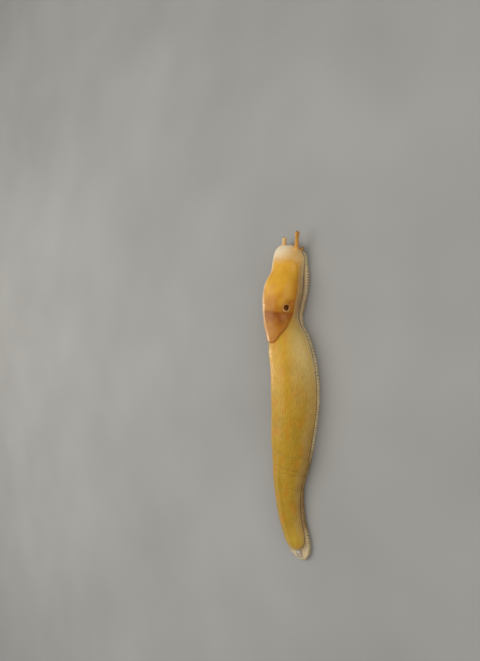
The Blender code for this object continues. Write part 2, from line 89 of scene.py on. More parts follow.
FOOT_TOP, FLESH_BASE = 3.2, 3.5
FLANK_BLUNTNESS = 2.3
KEEL_HEIGHT, KEEL_WIDTH = 0.9, 1.3
KEEL_START, KEEL_FULL = -20.0, -62.0
SOLE_INSET, TOP_INSET = 1.0, 1.7
TAIL_PAD_START, TAIL_PAD_HEIGHT = -93.5, 0.9
CHIN_START, CHIN_END, CHIN_THINNING = 82.0, 90.0, 0.45  # the foot thins under the head
FLESH_SINK = 1.7  # how far the flesh reaches down into the foot
THROAT_START, THROAT_END = 83.0, 87.0  # the flesh lifts clear of the foot between these

MANTLE_CENTRE_X = 52.0
MANTLE_FRONT, MANTLE_FRONT_BLUNTNESS = 30.2, 5.0
MANTLE_REAR, MANTLE_REAR_POINTEDNESS = 20.4, 1.54
MANTLE_SPREAD = math.radians(70.0)
MANTLE_THICK, MANTLE_EDGE = 3.0, 1.35
MANTLE_RIM = 0.955  # ring where the rim starts to round over
MANTLE_SINK = 0.25  # how far its underside reaches into the flesh
MANTLE_THIN_SPAN, MANTLE_THINNING, MANTLE_FRONT_SINK = (66.0, 80.0), 0.72, 0.22  # thinner in front

PORE_X, PORE_ANGLE = 54.0, math.radians(46.0)
PORE_HALF_LENGTH, PORE_HALF_HEIGHT, PORE_DEPTH = 1.75, 1.35, 2.4
PORE_LIP_RADIUS, PORE_LIP_TUBE = 2.0, 0.55
PORE_ROOM = 0.94  # share of the hole that its lip leaves open
PORE_NOTCH_PLACE, PORE_NOTCH_RADII = (0.75, -0.7, 0.0), (0.9, 0.8, 1.5)
CLEFT_START = (55.5, math.radians(49.0))
CLEFT_END = (60.5, math.radians(69.0))

SIDES = {"right": -1, "left": 1}
HEAD_TURN = math.radians(-17.0)
HEAD_START = 83.4
EYE_STALK_ROOT = {"right": (86.0, 6.5, 5.7), "left": (86.0, 5.2, 4.7)}
EYE_STALK_REACH = {"right": (15.6, -1.6, 2.6), "left": (10.4, 0.0, 2.9)}
EYE_STALK_RADII = {
    "right": ((0.0, 1.5), (0.28, 1.75), (0.42, 1.4), (0.6, 1.2), (0.8, 1.1)),
    "left": ((0.0, 0.9), (0.2, 1.5), (0.42, 1.8), (0.58, 1.4), (0.7, 1.2), (0.8, 1.1)),
}
STALK_START = {"eye_stalk_right": 0.32, "eye_stalk_left": 0.5}  # where each leaves the head
LOWER_FEELER_START = 0.6
EYE_BULB_RADIUS = 1.4
EYE_RADIUS, EYE_SINK = 0.5, 0.33
EYE_FACING, EYE_SHAPE = (0.25, 0.75), (1.0, 1.0, 0.92)  # aside and up for 1 ahead, radii
LOWER_FEELER_ROOT = (86.4, 6.2, 4.3)
LOWER_FEELER_REACH = (6.4, 1.4, -1.4)
LOWER_FEELER_RADII = ((0.0, 1.3), (0.5, 1.05), (0.75, 0.85))
LOWER_BULB_RADIUS = 0.95

MOUTH_PLACE, MOUTH_FACING = (91.1, 0.0, 5.0), (1.0, -0.3, -0.6)
LIP_RADIUS, LIP_TUBE, LIP_FLATNESS = 2.3, 0.6, 0.42
MOUTH_SLIT = (0.32, 1.9, 1.2)

# Relief of the skin: sizes along and around the body, depths, and places of creases
TUBERCLE, SMALL_TUBERCLE, WART, GRAIN = (4.8, 1.7), (1.5, 0.8), (1.35, 1.0), (1.0, 1.0)
TUBERCLE_SLANT = 0.45
TUBERCLE_DEPTH, TUBERCLE_UNEVEN, SMALL_DEPTH = 0.1, 0.04, 0.02
WART_UNEVEN, WART_DEPTH = 0.05, 0.08
GRAIN_UNEVEN, GRAIN_DEPTH, SWELLING, HOLLOW = 0.04, 0.04, 0.09, 0.3
PLEAT_PITCH, PLEAT_DEPTH = 1.4, 0.17
FRINGE_WAVE_PITCH, FRINGE_WAVE_DEPTH = 4.3, 0.12
FRINGE_TURNS = ((-91.5, 7.5, -1), (82.7, 10.0, 1))  # middle, radius and way it faces at each end
LEDGE_FOLDS = ((0.12, 3.0, 16), (0.05, 1.2, 17))  # depth, size and seed
FLANK_LINES = ((0.9, 1.45, 0.3), (0.45, 3.1, 0.35), (0.3, 4.6, 0.35))  # share, height, half width
FLANK_LINE_DEPTH, BEND_CREASE_DEPTH, BEND_CREASE_PITCH = 0.24, 0.16, 2.9
BACK_CREASES, BACK_CREASE_WIDTH, BACK_CREASE_DEPTH = (-35.0, -43.0, -45.5, -57.0), 0.55, 0.18
FEELER_RINGS, FEELER_RING_DEPTH, FEELER_GRAIN = 17, 0.035, 0.02
CLEFT_WIDTH, CLEFT_DEPTH = 0.6, 0.3
LIP_LUMPS, LIP_LUMP_SIZE = 0.28, 2.6
SLOW_WAVE, SLOW_WAVE_SIZE = 0.22, 26.0
SOLID_PLEAT_DEPTH = 0.2  # the pleats cut this far into the solids of the foot

# Fineness of the skin
ROUGH_VOXEL, FINE_VOXEL = 0.3, 0.2
SMOOTH_ROUNDS, SOFT_ROUNDS = 3, 24
RING_STEP, SPINE_STEP = 0.5, 0.5

FLESH_NODES = [
    "head", "neck", "body_front", "body_middle", "body_rear", "tail", "mantle",
    "foot_front", "foot_middle", "foot_rear",
    "eye_stalk_right", "eye_stalk_left", "lower_feeler_right", "lower_feeler_left",
]

SOLE_WAVE_PITCH = 5.5
DARK_ZONE_REAR, DARK_ZONE_FRONT = 43.0, 50.9  # the dark patch behind the mantle's middle

# Regions and colours that are products of factors. A factor is a step over a coordinate
# from where it starts to where it is full, a bump with its middle and half width, a region
# ("of"), or all that is outside a region ("off").
REGIONS = {
    "mantle": (("step", "ring", 1.012, 0.985), ("off", "stalk")),
    "foot": (("step", "height", 3.55, 3.1), ("off", "stalk")),
    "rim": (("bump", "ring", 0.99, 0.035), ("off", "stalk")),
    "bare": (("off", "foot"), ("off", "stalk"), ("off", "mantle")),
    "head": (("step", "station", 78, 86), ("off", "mantle")),
    "tail": (("step", "station", -45, -85),),
    "sole": (("step", "height", 0.25, 0.05),),
}
COLOUR_MASKS = {
    "stalk": (("of", "stalk"),),
    "tail": (("of", "tail"),),
    "warm": (("step", "station", -30, 34), ("step", "up", 0.2, 0.9)),
    "tail_tip": (("of", "bare"), ("bump", "station", -91.0, 7.0)),
    "pale_side": (("of", "bare"), ("bump", "station", 23.0, 15.0), ("bump", "angle", 1.1, 0.45)),
    # grey-pink tone of the neck's flank, partly painted shade beside the mantle's edge
    "neck_flank": (("of", "bare"), ("step", "up", 0.5, 0.3), ("bump", "station", 66.0, 22.0)),
    "rear_flank": (("of", "bare"), ("step", "up", 0.5, 0.1), ("bump", "station", -45.0, 32.0)),
    # painted shade: the fringe darkened along the rear half
    "rear_fringe_shade": (
        ("of", "foot"), ("off", "sole"),
        ("step", "station", -25, -42), ("step", "station", -90, -80),
    ),
    "head": (("off", "foot"), ("step", "station", 74, 86)),
    "head_pale": (("off", "foot"), ("step", "station", 74, 86), ("step", "angle", 0.7, -0.3)),
    "gold_rear": (("of", "mantle"), ("bump", "station", 40.5, 4.5), ("bump", "angle", -0.1, 0.45)),
    "edge": (("of", "rim"), ("step", "station", 60, 46)),
    # painted highlight: a pale rim along the left side, from the mantle forwards
    "left_rim_highlight": (("off", "stalk"), ("step", "station", 38, 56), ("step", "angle", -0.25, -0.75)),
}


# Lines and surfaces of the body


def along(column, x):
    """A column of LINES at each x, as a smooth curve through its values."""
    xs, ys = LINES[:, 0], LINES[:, column]
    slopes = np.gradient(ys, xs)
    i = np.clip(np.searchsorted(xs, x) - 1, 0, len(xs) - 2)
    span = xs[i + 1] - xs[i]
    t = np.clip((x - xs[i]) / span, 0, 1)
    return (
        ys[i] * (1 + 2 * t) * (1 - t) ** 2
        + slopes[i] * span * t * (1 - t) ** 2
        + ys[i + 1] * t * t * (3 - 2 * t)
        + slopes[i + 1] * span * t * t * (t - 1)
    )


def step(start, end, value):
    t = np.clip((value - start) / (end - start), 0, 1)
    return t * t * (3 - 2 * t)


def bump(value, middle, width):
    """1 at the middle, falling smoothly to 0 over the width on both sides."""
    return np.exp(-(((value - middle) / width) ** 2))


def spine(x):
    """The spine's points on the floor, and the unit vectors to the animal's left."""
    x = np.asarray(x, float)
    slope = (along(SWAY, x + SPINE_STEP) - along(SWAY, x - SPINE_STEP)) / (2 * SPINE_STEP)
    length = np.hypot(slope, 1)
    zero = np.zeros_like(x)
    left = np.stack((-slope / length, 1 / length, zero), -1)
    return np.stack((x, along(SWAY, x), zero), -1), left


def closing(x, ends):
    """How far the section has closed near a rounded end."""
    closed = 1.0
    for (tip, length, blunt), way in zip(ends, (1, -1)):
        past = 1 - np.clip(way * (x - tip) / length, 0, 1)
        closed = closed * (1 - past**blunt) ** (1 / blunt)
    return closed


def flesh_point(x, angle):
    """Points on the back; angle runs from 0 at the right base over the top to pi at the left."""
    closed = closing(x, FLESH_ENDS)
    tip_z = np.where(x < 0, TAIL_TIP_Z, SNOUT_TIP_Z)
    base = tip_z + (FLESH_BASE - tip_z) * closed
    top = tip_z + (along(BACK, x) - tip_z) * closed
    cosine = np.cos(angle)
    half = along(HALF_WIDTH, x) * closed
    lateral = -half * np.sign(cosine) * np.abs(cosine) ** (2 / FLANK_BLUNTNESS)
    keel = KEEL_HEIGHT * closed * step(KEEL_START, KEEL_FULL, x)
    height = base + (top - base) * np.sin(angle) + keel * np.exp(-((lateral / KEEL_WIDTH) ** 2))
    centre, left = spine(x)
    points = centre + left * lateral[..., None]
    points[..., 2] = height
    return points


def unit(vectors):
    return vectors / np.maximum(np.linalg.norm(vectors, axis=-1, keepdims=True), 1e-9)


def skin_point(x, from_midline, lift):
    """Points lifted off the back; from_midline is the angle down from the top, to the right."""
    x, from_midline, lift = np.broadcast_arrays(x, from_midline, lift)
    angle = math.pi / 2 - from_midline
    step_x, step_angle = 0.4, 0.02
    x = np.minimum(x, SNOUT_TIP - 2 * step_x)
    ahead = flesh_point(x + step_x, angle) - flesh_point(x - step_x, angle)
    across = flesh_point(x, angle + step_angle) - flesh_point(x, angle - step_angle)
    normal = unit(np.cross(ahead, across))
    return flesh_point(x, angle) + normal * lift[..., None]


def head_place(place, side):
    """A place given ahead, aside and up on a straight head, on the turned head instead."""
    ahead, aside, up = place
    middle, _ = spine(HEAD_START)
    cosine, sine = math.cos(HEAD_TURN), math.sin(HEAD_TURN)
    forward, sideways = ahead - middle[0], side * aside
    x = middle[0] + forward * cosine - sideways * sine
    y = middle[1] + forward * sine + sideways * cosine
    return np.array((x, y, up))


# Closed forms that the skin is made from


def full_turn(count):
    return np.linspace(0, TURN, count, endpoint=False)


def stations(ends):
    """Places along x for the rings of a form, closer together where its rounded ends close."""
    (rear, rear_length, _), (front, front_length, _) = ends
    closes = 1 - np.cos(np.linspace(0.02, math.pi / 2, 30))
    between = np.arange(rear + rear_length + RING_STEP, front - front_length, RING_STEP)
    behind, ahead = rear + rear_length * closes, front - front_length * closes[::-1]
    return np.concatenate((behind, between, ahead))


def closed_mesh(rings):
    """Points and faces of a closed surface through rings of equally many points."""
    rings = np.asarray(rings)
    count, size = rings.shape[:2]
    points = rings.reshape(-1, 3)
    k, j = np.meshgrid(np.arange(count - 1), np.arange(size), indexing="ij")
    here, after = k * size + j, k * size + (j + 1) % size
    quads = np.stack((here, after, after + size, here + size), -1).reshape(-1, 4)
    ends = np.stack((rings[0].mean(0), rings[-1].mean(0)))
    first, last, end_ring = len(points), len(points) + 1, (count - 1) * size
    j = np.arange(size)
    after = (j + 1) % size
    first_cap = np.stack((after, j, np.full(size, first)), -1)
    last_cap = np.stack((end_ring + j, end_ring + after, np.full(size, last)), -1)
    faces = [*quads.tolist(), *first_cap.tolist(), *last_cap.tolist()]
    return np.concatenate((points, ends)), faces


def flesh_form():
    xs = stations(FLESH_ENDS)
    angles = np.linspace(0, math.pi, 150)
    dome = flesh_point(xs[:, None], angles[None, :])
    sink = FLESH_SINK * step(THROAT_END, THROAT_START, xs) * step(TAIL_TIP, TAIL_TIP + 3, xs)
    shares = np.linspace(0, 1, 42)[1:-1]
    floor = dome[:, -1:] + (dome[:, :1] - dome[:, -1:]) * shares[None, :, None]
    floor[..., 2] -= sink[:, None]
    return closed_mesh(np.concatenate((dome, floor), axis=1))


def foot_profile(x):
    """The foot's side at each x, from sole to top: points of (distance from the spine, height)."""
    closed = closing(x, FOOT_ENDS)
    half, height = along(FOOT_HALF, x) * closed, FOOT_TOP * closed**0.6
    height = height * (1 - CHIN_THINNING * step(CHIN_START, CHIN_END, x))
    turns = np.linspace(0, 1, 16)
    outward = np.sin(math.pi * np.clip(turns * 0.62 + 0.06, 0, 1)) ** 0.8
    inset = np.where(turns < 0.45, SOLE_INSET, TOP_INSET) * (1 - outward)
    rise = turns**0.9
    aside = half[:, None] - inset * closed[:, None]
    return aside, rise * height[:, None], closed, height


def foot_form():
    xs = stations(FOOT_ENDS)
    aside, rise, closed, height = foot_profile(xs)
    centre, left = spine(xs)
    pad = height + TAIL_PAD_HEIGHT * closed * step(TAIL_PAD_START, TAIL_PAD_START - 2.5, xs)
    shares = np.linspace(-1, 1, 30)[1:-1]
    top_aside = -aside[:, -1:] * shares
    top_rise = height[:, None] + (pad - height)[:, None] * (1 - shares**2)
    sole_aside = aside[:, :1] * np.linspace(-1, 1, 40)[1:-1]
    profile_aside = np.concatenate((aside, top_aside, -aside[:, ::-1], sole_aside), axis=1)
    flat = np.zeros_like(sole_aside)
    profile_rise = np.concatenate((rise, top_rise, rise[:, ::-1], flat), axis=1)
    rings = centre[:, None] + left[:, None] * profile_aside[..., None]
    rings[..., 2] = profile_rise
    return closed_mesh(rings)


def mantle_place(ring, turn):
    """x and angle from the midline on the mantle, where ring 0 is its middle and 1 its edge."""
    ahead, aside = np.cos(turn), np.sin(turn)
    blunt = MANTLE_FRONT_BLUNTNESS
    edge = (np.abs(ahead) ** blunt + np.abs(aside) ** blunt) ** (-1 / blunt)
    pointed = np.sign(aside) * np.abs(aside) ** MANTLE_REAR_POINTEDNESS
    x = np.where(ahead > 0, MANTLE_FRONT * ahead * edge, MANTLE_REAR * ahead)
    angle = MANTLE_SPREAD * ring * np.where(ahead > 0, aside * edge, pointed)
    return MANTLE_CENTRE_X + ring * x, angle


def mantle_thickness(ring):
    return MANTLE_EDGE + (MANTLE_THICK - MANTLE_EDGE) * (1 - ring * ring)


def mantle_form():
    turns = full_turn(300)
    flat = np.linspace(0.01, 0.95, 50)
    rim_turn = np.linspace(0, math.pi, 12)
    rim_ring = MANTLE_RIM + (1 - MANTLE_RIM) * np.sin(rim_turn)
    rim_lift = mantle_thickness(MANTLE_RIM) * (0.5 + 0.5 * np.cos(rim_turn))
    rings = np.concatenate((flat, rim_ring, flat[::-1]))
    lifts = np.concatenate((mantle_thickness(flat), rim_lift, np.full(len(flat), -MANTLE_SINK)))
    x, angle = mantle_place(rings[:, None], turns[None, :])
    front = step(*MANTLE_THIN_SPAN, x)
    lift = lifts[:, None] * (1 - MANTLE_THINNING * front) - MANTLE_FRONT_SINK * front
    return closed_mesh(skin_point(x, angle, lift))


def frames_along(line):
    """Unit vectors ahead, aside and up at each point of a line that runs roughly level."""
    ahead = unit(np.gradient(line, axis=0))
    aside = unit(np.cross(UPWARD, ahead))
    return ahead, aside, np.cross(ahead, aside)


def tube_form(line, radii, around=40):
    _, aside, up = frames_along(line)
    turns = full_turn(around)[:, None]
    outward = np.cos(turns) * aside[:, None] + np.sin(turns) * up[:, None]
    return closed_mesh(line[:, None] + outward * radii[:, None, None])


def feeler_line(root, reach, side, shares):
    line = []
    for share in shares:
        place = [root[k] + reach[k] * share for k in range(3)]
        place[2] += 0.5 * math.sin(math.pi * share)
        line.append(head_place(place, side))
    return np.array(line)


def feeler_form(root, reach, side, radii, bulb):
    """A tapering stalk with a round bulb, the bulb's centre and heading, the line and its radii."""
    line = feeler_line(root, reach, side, np.linspace(0, 1, 60))
    lengths = np.concatenate(([0], np.cumsum(np.linalg.norm(np.diff(line, axis=0), axis=1))))
    total = lengths[-1]
    shares, widths = zip(*radii)
    stalk = np.interp(lengths / total, shares, widths)
    to_centre = total - bulb - lengths
    ball = np.sqrt(np.clip(bulb**2 - to_centre**2, 0, None))
    swell = stalk + (bulb - stalk) * bump(to_centre, 0.0, 1.1 * bulb)
    sizes = np.where(to_centre < 0, ball, np.maximum(swell, np.where(to_centre < bulb, ball, 0)))
    ahead, _, _ = frames_along(line)
    centre = line[-1] - ahead[-1] * bulb
    return tube_form(line, np.maximum(sizes, 0.02)), centre, ahead[-1], line, sizes


def turned_to(normal, towards):
    """The rotation that puts +Z on the normal and keeps +X as near a direction as it can."""
    across = unit(np.cross(normal, towards))
    ahead = unit(np.cross(across, normal))
    return np.column_stack((ahead, across, normal))


def torus_form(radius, tube, rotation, place, stretch, count=64, section=24):
    turns, around = full_turn(count)[:, None], full_turn(section)
    out = radius + tube * np.cos(around)
    x, y = np.cos(turns) * out * stretch[0], np.sin(turns) * out * stretch[1]
    up = np.broadcast_to(tube * np.sin(around), x.shape)
    points = np.stack((x, y, up), -1) @ rotation.T + place
    k, j = np.meshgrid(np.arange(count) * section, np.arange(section), indexing="ij")
    k2, j2 = (k + section) % (count * section), (j + 1) % section
    quads = np.stack((k + j, k2 + j, k2 + j2, k + j2), -1)
    return points.reshape(-1, 3), quads.reshape(-1, 4).tolist()


def ball_form(radii, rotation, place, count=24):
    """A stretched ball, as rings from pole to pole."""
    polar, turns = np.linspace(0.05, math.pi - 0.05, count)[:, None], full_turn(2 * count)
    x, y = np.sin(polar) * np.cos(turns), np.sin(polar) * np.sin(turns)
    rings = np.stack((x, y, np.broadcast_to(np.cos(polar), x.shape)), -1)
    return closed_mesh((rings * np.asarray(radii)) @ rotation.T + place)


# Meshes in Blender


def mesh_object(name, points, faces):
    mesh = bpy.data.meshes.new(name)
    mesh.from_pydata(np.asarray(points).tolist(), [], faces)
    editable = bmesh.new()
    editable.from_mesh(mesh)
    bmesh.ops.recalc_face_normals(editable, faces=editable.faces)
    editable.to_mesh(mesh)
    editable.free()
    obj = bpy.data.objects.new(name, mesh)
    bpy.context.scene.collection.objects.link(obj)
    return obj


def joined(name, forms):
    """Several closed forms as one object, still overlapping."""
    points, faces, offset = [], [], 0
    for form_points, form_faces in forms:
        points.append(form_points)
        faces += [tuple(i + offset for i in face) for face in form_faces]
        offset += len(form_points)
    return mesh_object(name, np.concatenate(points), faces)


def apply_modifiers(obj):
    bpy.context.view_layer.update()
    evaluated = obj.evaluated_get(bpy.context.evaluated_depsgraph_get())
    mesh = bpy.data.meshes.new_from_object(evaluated)
    obj.modifiers.clear()
    old, obj.data = obj.data, mesh
    bpy.data.meshes.remove(old)


def remesh(obj, voxel):
    modifier = obj.modifiers.new("remesh", "REMESH")
    modifier.mode = "VOXEL"
    modifier.voxel_size = voxel
    apply_modifiers(obj)


def cut(obj, form):
    cutter = mesh_object("cutter", *form)
    modifier = obj.modifiers.new("cut", "BOOLEAN")
    modifier.operation = "DIFFERENCE"
    modifier.solver = "MANIFOLD"
    modifier.object = cutter
    apply_modifiers(obj)
    bpy.data.objects.remove(cutter)


def read(items, field, width, kind=np.float32):
    values = np.empty(len(items) * width, kind)
    items.foreach_get(field, values)
    return values.reshape(-1, width)


def read_points(mesh):
    return read(mesh.vertices, "co", 3).astype(float)


def write_points(mesh, points):
    mesh.vertices.foreach_set("co", points.astype(np.float32).reshape(-1))
    mesh.update()


def read_normals(mesh):
    return read(mesh.vertex_normals, "vector", 3).astype(float)


def read_edges(mesh):
    return read(mesh.edges, "vertices", 2, np.int32)


def smoothed(points, edges, rounds, share):
    """Points drawn towards the mean of their neighbours, each by its own share."""
    count = len(points)
    degree = np.bincount(edges.reshape(-1), minlength=count)
    share = np.broadcast_to(np.asarray(share, float), count)[:, None]
    for _ in range(rounds):
        mean = np.empty_like(points)
        for axis in range(3):
            total = np.bincount(edges[:, 0], points[edges[:, 1], axis], count)
            total += np.bincount(edges[:, 1], points[edges[:, 0], axis], count)
            mean[:, axis] = total / np.maximum(degree, 1)
        points = points + (mean - points) * share
    return points


def set_attribute(mesh, name, values):
    attribute = mesh.attributes.new(name, "FLOAT", "POINT")
    attribute.data.foreach_set("value", np.clip(values, 0, 1).astype(np.float32))


def dress(obj, material):
    obj.data.shade_smooth()
    obj.data.materials.clear()
    obj.data.materials.append(material)


def put(obj, aside, over, looking, place):
    """Adds an object at a place, with its own axes along the three directions."""
    matrix = np.identity(4)
    matrix[:3] = np.column_stack((aside, over, looking, place))
    obj.matrix_world = Matrix(matrix.tolist())
    bpy.context.scene.collection.objects.link(obj)


# Patterns


def waves(points, size, seed, count=14):
    """Smooth wandering values of about -1 to 1 with features of roughly the given size."""
    draw = np.random.default_rng(seed)
    directions = unit(draw.normal(size=(count, points.shape[-1])))
    rates = TURN / size * draw.uniform(0.6, 1.5, count)
    phases = draw.uniform(0, TURN, count)
    total = np.zeros(len(points))
    for direction, rate, phase in zip(directions, rates, phases):
        total += np.sin(points @ direction * rate + phase)
    return total / math.sqrt(count)


def drawn(i, j, seed):
    """A repeatable value from 0 to 1 for each pair of whole numbers."""
    value = np.sin(i * 127.1 + j * 311.7 + seed * 74.7) * 43758.5453
    return value - np.floor(value)


def cells(u, v, seed, jitter=0.8):
    """For a net of cells about 1 across: distance to the nearest furrow, and a value per cell."""
    whole_u, whole_v = np.floor(u), np.floor(v)
    nearest = np.full(len(u), 9.0)
    second = np.full(len(u), 9.0)
    chosen = np.zeros(len(u))
    for du in (-1, 0, 1):
        for dv in (-1, 0, 1):
            i, j = whole_u + du, whole_v + dv
            centre_u = i + 0.5 + jitter * (drawn(i, j, seed) - 0.5) + 0.5 * (np.mod(j, 2) - 0.5)
            centre_v = j + 0.5 + jitter * (drawn(j, i, seed + 5) - 0.5)
            distance = np.hypot(u - centre_u, v - centre_v)
            closer = distance < nearest
            second = np.where(closer, nearest, np.minimum(second, distance))
            chosen = np.where(closer, drawn(i, j, seed + 9), chosen)
            nearest = np.where(closer, distance, nearest)
    return second - nearest, chosen


# The skin


def feelers():
    """The forms of the four feelers, each with its bulb's centre and heading, line and radii."""
    found = {}
    for name, side in SIDES.items():
        eye_stalk = EYE_STALK_ROOT[name], EYE_STALK_REACH[name], side, EYE_STALK_RADII[name]
        lower = LOWER_FEELER_ROOT, LOWER_FEELER_REACH, side, LOWER_FEELER_RADII
        found["eye_stalk_" + name] = feeler_form(*eye_stalk, EYE_BULB_RADIUS)
        found["lower_feeler_" + name] = feeler_form(*lower, LOWER_BULB_RADIUS)
    return found


def pore_surface():
    """The middle of the breathing hole on the mantle, and the way it faces."""
    place = skin_point(PORE_X, PORE_ANGLE, mantle_thickness(PORE_ANGLE / MANTLE_SPREAD))
    return place, unit(skin_point(PORE_X, PORE_ANGLE, 1.0) - skin_point(PORE_X, PORE_ANGLE, 0.0))


def skin_forms(all_feelers):
    place, normal = pore_surface()
    sideways, stretch = turned_to(normal, FORWARD), PORE_HALF_HEIGHT / PORE_HALF_LENGTH
    place = place - normal * 0.25 * PORE_LIP_TUBE
    pore_lip = torus_form(PORE_LIP_RADIUS, PORE_LIP_TUBE, sideways, place, (1, stretch))
    facing = turned_to(unit(np.array(MOUTH_FACING)), UPWARD)
    mouth = torus_form(LIP_RADIUS, LIP_TUBE, facing, head_place(MOUTH_PLACE, 1), (LIP_FLATNESS, 1))
    stalks = [feeler[0] for feeler in all_feelers.values()]
    return [flesh_form(), foot_form(), mantle_form(), pore_lip, mouth, *stalks]


def skin_cutters():
    place, normal = pore_surface()
    radii = (PORE_HALF_LENGTH * PORE_ROOM, PORE_HALF_HEIGHT * PORE_ROOM, PORE_DEPTH)
    facing = turned_to(unit(np.array(MOUTH_FACING)), UPWARD)
    sideways = turned_to(normal, FORWARD)
    notch = place + sideways @ np.array(PORE_NOTCH_PLACE)
    return [
        ball_form(radii, sideways, place),
        ball_form(PORE_NOTCH_RADII, sideways, notch),
        ball_form(MOUTH_SLIT, facing, head_place(MOUTH_PLACE, 1)),
    ]


def body_places(points):
    """Each point's place on the body: its station along it, its distance to the left, height and
    angle from the midline, its share of the back's height, and its length over the skin."""
    station = points[:, 0].copy()
    for _ in range(4):
        centre, left = spine(station)
        ahead = np.stack((left[:, 1], -left[:, 0]), -1)
        offset = points[:, :2] - centre[:, :2]
        station += (offset * ahead).sum(-1) * ahead[:, 0]
        station = np.clip(station, LINES[0, 0], LINES[-1, 0])
    centre, left = spine(station)
    aside = ((points - centre) * left).sum(-1)
    half = along(HALF_WIDTH, station)
    out = np.abs(aside / np.maximum(half, 1)) ** (FLANK_BLUNTNESS / 2)
    up = (points[:, 2] - FLESH_BASE) / np.maximum(along(BACK, station) - FLESH_BASE, 1)
    angle = np.arctan2(out, np.maximum(up, 0)) * -np.sign(aside)
    return {
        "station": station,
        "aside": aside,
        "height": points[:, 2],
        "angle": angle,
        "up": up,
        "arc": angle * 0.5 * (half + along(BACK, station) - FLESH_BASE),
        "ring": mantle_ring(station, angle),
    }


def mantle_ring(x, angle):
    """The ring of the mantle that a place lies on: 1 at its edge, more outside it."""
    ahead = (x - MANTLE_CENTRE_X) / np.where(x > MANTLE_CENTRE_X, MANTLE_FRONT, MANTLE_REAR)
    aside = np.abs(angle) / MANTLE_SPREAD
    blunt = MANTLE_FRONT_BLUNTNESS
    front = (np.abs(ahead) ** blunt + aside**blunt) ** (1 / blunt)
    # The curve of the rear edge is solved by halving
    low, high = np.zeros(len(x)), np.full(len(x), 8.0)
    for _ in range(24):
        ring = (low + high) / 2
        outside = (ahead / ring) ** 2 + (aside / ring) ** (2 / MANTLE_REAR_POINTEDNESS) > 1
        low, high = np.where(outside, ring, low), np.where(outside, high, ring)
    return np.where(ahead > 0, front, ring)


def distance_to(points, line):
    """Distance from each point to the nearest point of a line, and how far along it that is."""
    best = np.full(len(points), 1e9)
    share = np.zeros(len(points))
    for i, place in enumerate(line):
        distance = np.linalg.norm(points - place, axis=1)
        share = np.where(distance < best, i / (len(line) - 1), share)
        best = np.minimum(best, distance)
    return best, share


def feeler_region(points, all_feelers):
    """How much each point belongs to a feeler, and how far along it that is."""
    near_head = points[:, 0] > THROAT_START - 1
    stalk, stalk_share = np.zeros(len(points)), np.zeros(len(points))
    for name, (_, _, _, line, sizes) in all_feelers.items():
        distance, share = distance_to(points[near_head], line[::2])
        start = STALK_START.get(name, LOWER_FEELER_START)
        reach = np.interp(share, np.linspace(0, 1, len(sizes)), np.maximum(sizes, 1.2))
        mask = step(reach + 0.6, reach + 0.2, distance) * step(start - 0.1, start + 0.1, share)
        better = mask > stalk[near_head]
        stalk_share[near_head] = np.where(better, share, stalk_share[near_head])
        stalk[near_head] = np.maximum(stalk[near_head], mask)
    return stalk, stalk_share


def product(factors, fields):
    """The product of the factors of a region or colour."""
    total = 1.0
    for shape, field, *numbers in factors:
        value = fields[field]
        if shape == "step":
            value = step(*numbers, value)
        elif shape == "bump":
            value = bump(value, *numbers)
        elif shape == "off":
            value = 1 - value
        total = total * value
    return total


def regions(points, all_feelers):
    """Each point's place on the body, and how much it belongs to each part, from 0 to 1."""
    at = body_places(points)
    at["stalk"], at["stalk_share"] = feeler_region(points, all_feelers)
    for name, factors in REGIONS.items():
        at[name] = product(factors, at)
    return at


def fringe_beat(points, station):
    """A length along the foot's edge that also runs round its two ends."""
    beat = station.copy()
    for end, radius, way in FRINGE_TURNS:
        centre, left = spine(end)
        offset = points[:, :2] - centre[:2]
        past = way * (offset @ np.array((left[1], -left[0])))
        turn = np.arctan2(np.maximum(past, 0), np.abs(offset @ left[:2]))
        beat = np.where(past > 0, end + way * turn * radius, beat)
    return beat


def back_relief(at, drift):
    """Furrows part the back into long low tubercles that slant down and backwards."""
    bare, arc, bend = at["bare"], at["arc"], 0.12 * drift
    slant = at["station"] + TUBERCLE_SLANT * np.abs(arc)
    edge, tone = cells(slant / TUBERCLE[0] + bend, arc / TUBERCLE[1] + bend, 3, 0.7)
    net = step(0.5, 0.0, edge)
    small, _ = cells(slant / SMALL_TUBERCLE[0], arc / SMALL_TUBERCLE[1], 13)
    small_net = step(0.4, 0, small)
    strength = (0.45 + 0.55 * step(34, 10, at["station"])) * (1 - 0.5 * at["tail"])
    strength = strength * (1 - 0.75 * at["head"]) * bare
    out = bare * (TUBERCLE_UNEVEN * (tone - 0.5) - SMALL_DEPTH * small_net)
    out -= TUBERCLE_DEPTH * net * strength
    wart, wart_tone = cells(slant / WART[0], arc / WART[1], 7)
    warts, wart_net = at["head"] * bare, step(0.4, 0, wart)
    out += warts * (WART_UNEVEN * (wart_tone - 0.5) - WART_DEPTH * wart_net)
    return out, 0.5 * net * strength + 0.35 * warts * wart_net


def back_creases(at, drift):
    """Faint creases that run across the back where the body starts to taper."""
    over = at["station"] + 0.9 * drift + 1.4 * (1 - np.cos(at["angle"] - 0.3))
    creases = sum(bump(over, middle, BACK_CREASE_WIDTH) for middle in BACK_CREASES)
    depth = creases * at["bare"] * (0.5 + 0.5 * step(-0.6, 0.5, at["angle"]))
    return -BACK_CREASE_DEPTH * depth, 0.9 * depth


